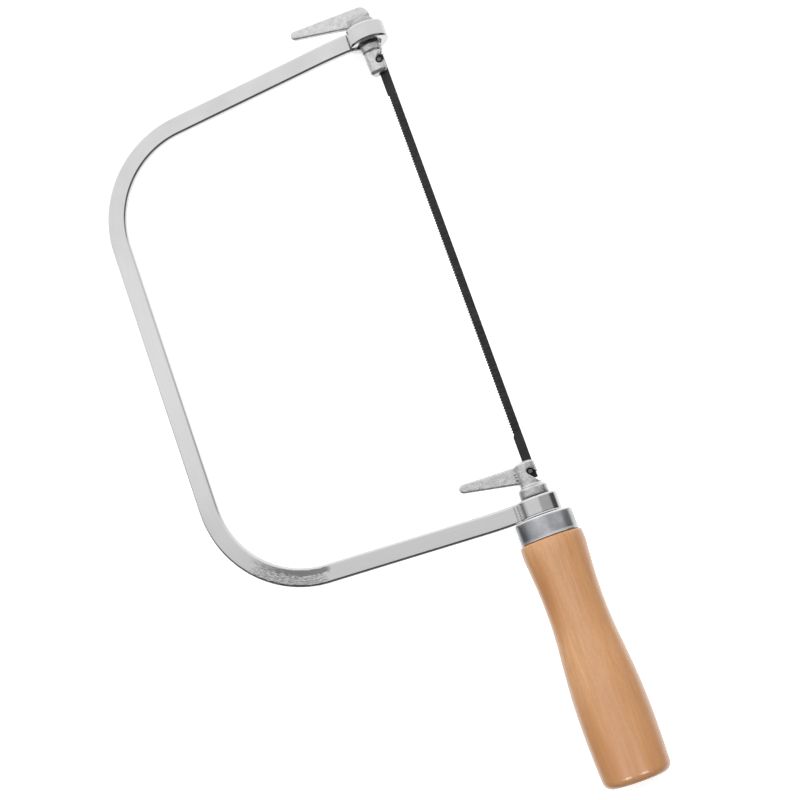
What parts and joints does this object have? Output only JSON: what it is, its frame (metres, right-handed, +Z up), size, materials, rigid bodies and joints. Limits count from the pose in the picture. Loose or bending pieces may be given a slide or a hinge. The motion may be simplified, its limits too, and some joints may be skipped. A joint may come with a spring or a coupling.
{
  "type": "coping saw",
  "caption": "Coping saw: a flat-bar U bow with rolled eyes, a pinned narrow blade between two turning lever holders, and a turned wooden handle that screws up the tension.",
  "frame": {"origin": "bottom centre of the saw's bounding box, with the saw lying flat on its side", "axes": "+Y runs along the blade from the handle to the front eye, -X from the blade to the bow's spine, +Z up across the flat of the bow"},
  "size_m": [0.1288, 0.2946, 0.025],
  "materials": {
    "bow_chrome": "bright chrome plate on flat bar, faintly brushed",
    "cast_zinc": "tumbled zinc die casting, dull with a fine mottle",
    "blade_steel": "blued black spring steel, low sheen",
    "bright_steel": "bright turned and pressed steel",
    "lacquered_beech": "turned beech under clear gloss lacquer"
  },
  "bodies": {
    "bow": {"frame_bow": "bow_chrome"},
    "front_holder": {"front_lever_spigot": "cast_zinc"},
    "blade_set": {"blade": "blade_steel", "front_blade_pin": "blade_steel", "rear_blade_pin": "blade_steel"},
    "rear_holder": {"rear_lever_spigot": "cast_zinc", "rear_stud": "bright_steel"},
    "handle": {"handle_grip": "lacquered_beech", "ferrule": "bright_steel", "handle_nut": "bright_steel"}
  },
  "joints": [
    {"name": "blade_angle", "type": "hinge", "parent": "bow", "child": "front_holder", "pos_m": [0.05185, 0.13483, 0.0125], "axis": [0, 1, 0], "continuous": true},
    {"name": "handle_turn", "type": "hinge", "parent": "bow", "child": "handle", "pos_m": [0.05185, -0.05227, 0.0125], "axis": [0, -1, 0], "range_deg": [0, 2341]},
    {"name": "tension_travel", "type": "slide", "parent": "front_holder", "child": "rear_holder", "axis": [0, 1, 0], "range_m": [0, 0.0065]},
    {"name": "blade_release", "type": "slide", "parent": "front_holder", "child": "blade_set", "axis": [0.6428, 0.766, 0], "range_m": [0, 0.0043]}
  ],
  "couplings": [
    {"joint": "handle_turn", "follows": "tension_travel", "rad_per_m": 6283.2},
    {"joint": "blade_release", "follows": "tension_travel", "ratio": 0.6527}
  ]
}
